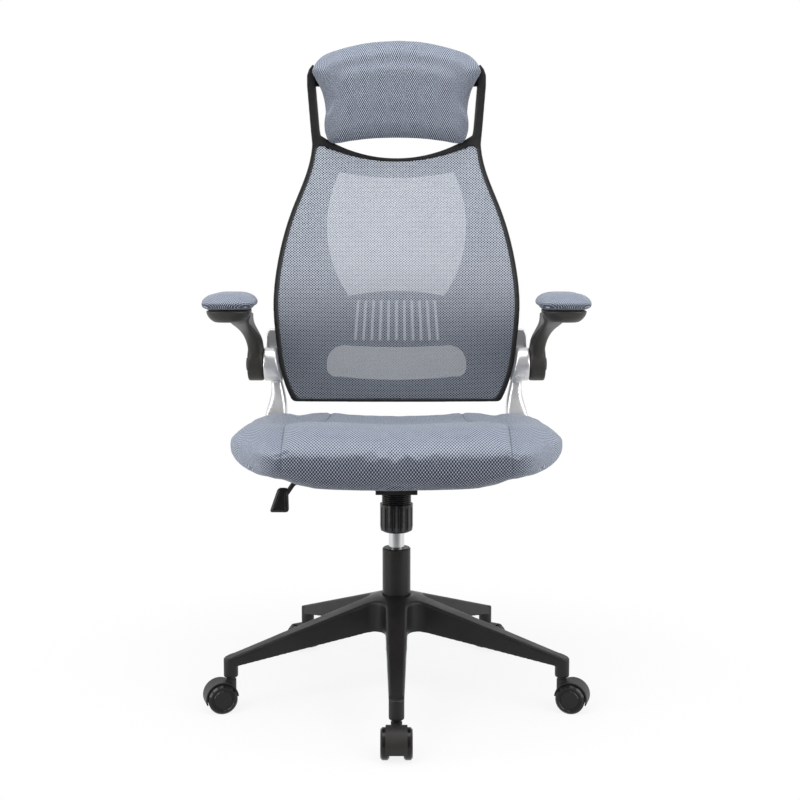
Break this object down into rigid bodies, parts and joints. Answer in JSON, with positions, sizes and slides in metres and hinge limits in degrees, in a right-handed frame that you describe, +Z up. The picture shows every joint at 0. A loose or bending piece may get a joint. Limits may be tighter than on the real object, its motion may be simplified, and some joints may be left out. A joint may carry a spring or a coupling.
{
  "type": "mesh office chair",
  "caption": "High-back swivel chair with mesh back, headrest, padded flip-up arms, gas-lift height, reclining seat and a five-star base on twin-wheel castors.",
  "frame": {"origin": "on the floor, under the column's axis", "axes": "+Z up, -Y to the chair's front, +X to the right seen from the front"},
  "size_m": [0.6906, 0.6831, 1.1984],
  "materials": {
    "black_nylon": "satin moulded nylon with a fine grain",
    "wheel_plastic": "smooth black wheel",
    "steel": "plain steel",
    "black_tube": "black powder coat, semi gloss",
    "bush_plastic": "black bush",
    "chrome_cylinder": "bright chromed cylinder",
    "black_sheet": "black painted stamped steel",
    "knob_plastic": "semi gloss black plastic",
    "spring_steel": "dark spring steel",
    "plywood": "bent plywood",
    "air_mesh": "grey-blue air mesh upholstery",
    "back_net": "grey-blue open mesh",
    "silver_paint": "satin silver paint",
    "frame_plastic": "black glass-filled nylon, fine texture",
    "arm_plastic": "black moulded arm"
  },
  "bodies": {
    "base": {"five_star_base": "black_nylon", "gas_lift_tube": "black_tube", "guide_bush": "bush_plastic"},
    "piston": {"piston_rod": "steel", "thrust_bearing": "steel", "retaining_clip": "steel"},
    "column": {"gas_lift_cylinder": "chrome_cylinder", "tilt_housing": "black_sheet", "tilt_pivot_pin": "steel", "tension_sleeve": "knob_plastic", "tension_spring": "spring_steel"},
    "valve": {"valve_pin": "steel"},
    "tension_disc": {"tension_disc": "steel"},
    "tension_knob": {"tension_knob": "knob_plastic"},
    "lever": {"lever_rod": "black_tube", "lever_paddle": "knob_plastic"},
    "seat": {"seat_plate": "black_sheet", "seat_board": "plywood", "seat_cushion": "air_mesh", "seat_bolts": "steel", "bracket_bolts": "steel", "arm_bracket_left": "silver_paint", "arm_bracket_right": "silver_paint", "back_frame": "frame_plastic", "back_panel": "frame_plastic", "back_mesh": "back_net", "back_bolts": "steel", "headrest_board": "frame_plastic", "headrest_pad": "air_mesh", "arm_pivot_left": "black_tube", "arm_pivot_right": "black_tube"},
    "arm_left": {"arm_left": "arm_plastic", "arm_pad_left": "air_mesh"},
    "arm_right": {"arm_right": "arm_plastic", "arm_pad_right": "air_mesh"},
    "castor_front": {"castor_front_hood": "black_nylon", "castor_front_stem": "steel", "castor_front_axle": "steel"},
    "castor_front_wheel_left": {"castor_front_wheel_left": "wheel_plastic"},
    "castor_front_wheel_right": {"castor_front_wheel_right": "wheel_plastic"},
    "castor_right": {"castor_right_hood": "black_nylon", "castor_right_stem": "steel", "castor_right_axle": "steel"},
    "castor_right_wheel_left": {"castor_right_wheel_left": "wheel_plastic"},
    "castor_right_wheel_right": {"castor_right_wheel_right": "wheel_plastic"},
    "castor_rear_right": {"castor_rear_right_hood": "black_nylon", "castor_rear_right_stem": "steel", "castor_rear_right_axle": "steel"},
    "castor_rear_right_wheel_left": {"castor_rear_right_wheel_left": "wheel_plastic"},
    "castor_rear_right_wheel_right": {"castor_rear_right_wheel_right": "wheel_plastic"},
    "castor_rear_left": {"castor_rear_left_hood": "black_nylon", "castor_rear_left_stem": "steel", "castor_rear_left_axle": "steel"},
    "castor_rear_left_wheel_left": {"castor_rear_left_wheel_left": "wheel_plastic"},
    "castor_rear_left_wheel_right": {"castor_rear_left_wheel_right": "wheel_plastic"},
    "castor_left": {"castor_left_hood": "black_nylon", "castor_left_stem": "steel", "castor_left_axle": "steel"},
    "castor_left_wheel_left": {"castor_left_wheel_left": "wheel_plastic"},
    "castor_left_wheel_right": {"castor_left_wheel_right": "wheel_plastic"}
  },
  "joints": [
    {"name": "castor_front_swivel", "type": "hinge", "parent": "base", "child": "castor_front", "pos_m": [0, -0.3, 0.056], "axis": [0, 0, 1], "continuous": true},
    {"name": "castor_front_wheel_left_spin", "type": "hinge", "parent": "castor_front", "child": "castor_front_wheel_left", "pos_m": [0, -0.318, 0.025], "axis": [1, 0, 0], "continuous": true},
    {"name": "castor_front_wheel_right_spin", "type": "hinge", "parent": "castor_front", "child": "castor_front_wheel_right", "pos_m": [0, -0.318, 0.025], "axis": [1, 0, 0], "continuous": true},
    {"name": "castor_right_swivel", "type": "hinge", "parent": "base", "child": "castor_right", "pos_m": [0.28532, -0.0927, 0.056], "axis": [0, 0, 1], "continuous": true},
    {"name": "castor_right_wheel_left_spin", "type": "hinge", "parent": "castor_right", "child": "castor_right_wheel_left", "pos_m": [0.30244, -0.09827, 0.025], "axis": [0.309, 0.9511, 0], "continuous": true},
    {"name": "castor_right_wheel_right_spin", "type": "hinge", "parent": "castor_right", "child": "castor_right_wheel_right", "pos_m": [0.30244, -0.09827, 0.025], "axis": [0.309, 0.9511, 0], "continuous": true},
    {"name": "castor_rear_right_swivel", "type": "hinge", "parent": "base", "child": "castor_rear_right", "pos_m": [0.17634, 0.24271, 0.056], "axis": [0, 0, 1], "continuous": true},
    {"name": "castor_rear_right_wheel_left_spin", "type": "hinge", "parent": "castor_rear_right", "child": "castor_rear_right_wheel_left", "pos_m": [0.18692, 0.25727, 0.025], "axis": [-0.809, 0.5878, 0], "continuous": true},
    {"name": "castor_rear_right_wheel_right_spin", "type": "hinge", "parent": "castor_rear_right", "child": "castor_rear_right_wheel_right", "pos_m": [0.18692, 0.25727, 0.025], "axis": [-0.809, 0.5878, 0], "continuous": true},
    {"name": "castor_rear_left_swivel", "type": "hinge", "parent": "base", "child": "castor_rear_left", "pos_m": [-0.17634, 0.24271, 0.056], "axis": [0, 0, 1], "continuous": true},
    {"name": "castor_rear_left_wheel_left_spin", "type": "hinge", "parent": "castor_rear_left", "child": "castor_rear_left_wheel_left", "pos_m": [-0.18692, 0.25727, 0.025], "axis": [-0.809, -0.5878, 0], "continuous": true},
    {"name": "castor_rear_left_wheel_right_spin", "type": "hinge", "parent": "castor_rear_left", "child": "castor_rear_left_wheel_right", "pos_m": [-0.18692, 0.25727, 0.025], "axis": [-0.809, -0.5878, 0], "continuous": true},
    {"name": "castor_left_swivel", "type": "hinge", "parent": "base", "child": "castor_left", "pos_m": [-0.28532, -0.0927, 0.056], "axis": [0, 0, 1], "continuous": true},
    {"name": "castor_left_wheel_left_spin", "type": "hinge", "parent": "castor_left", "child": "castor_left_wheel_left", "pos_m": [-0.30244, -0.09827, 0.025], "axis": [0.309, -0.9511, 0], "continuous": true},
    {"name": "castor_left_wheel_right_spin", "type": "hinge", "parent": "castor_left", "child": "castor_left_wheel_right", "pos_m": [-0.30244, -0.09827, 0.025], "axis": [0.309, -0.9511, 0], "continuous": true},
    {"name": "seat_swivel", "type": "hinge", "parent": "base", "child": "piston", "pos_m": [0, 0, 0.1], "axis": [0, 0, 1], "continuous": true},
    {"name": "height", "type": "slide", "parent": "piston", "child": "column", "axis": [0, 0, 1], "range_m": [-0.075, 0.025]},
    {"name": "tilt", "type": "hinge", "parent": "column", "child": "seat", "pos_m": [0, -0.125, 0.411], "axis": [-1, 0, 0], "range_deg": [0, 12], "stiffness_Nm_per_rad": 80, "springref_deg": -28.65, "deforming": ["tension_spring"]},
    {"name": "lever_lift", "type": "hinge", "parent": "column", "child": "lever", "pos_m": [-0.022, 0, 0.393], "axis": [0, 1, 0], "range_deg": [0, 5], "stiffness_Nm_per_rad": 6, "springref_deg": -6.88},
    {"name": "valve_press", "type": "slide", "parent": "column", "child": "valve", "axis": [0, 0, 1], "range_m": [-0.00192, 0]},
    {"name": "tension_travel", "type": "slide", "parent": "column", "child": "tension_disc", "axis": [0, 0, 1], "range_m": [-0.007, 0.014], "deforming": ["tension_spring"]},
    {"name": "tension_turn", "type": "hinge", "parent": "tension_disc", "child": "tension_knob", "pos_m": [0, -0.085, 0.33], "axis": [0, 0, 1], "range_deg": [-720, 1440]},
    {"name": "arm_left_flip", "type": "hinge", "parent": "seat", "child": "arm_left", "pos_m": [-0.268, 0.205, 0.576], "axis": [-1, 0, 0], "range_deg": [0, 90]},
    {"name": "arm_right_flip", "type": "hinge", "parent": "seat", "child": "arm_right", "pos_m": [0.268, 0.205, 0.576], "axis": [-1, 0, 0], "range_deg": [0, 90]}
  ],
  "couplings": [
    {"joint": "valve_press", "follows": "lever_lift", "m_per_rad": -0.022},
    {"joint": "tension_turn", "follows": "tension_travel", "rad_per_m": 1795.2}
  ]
}
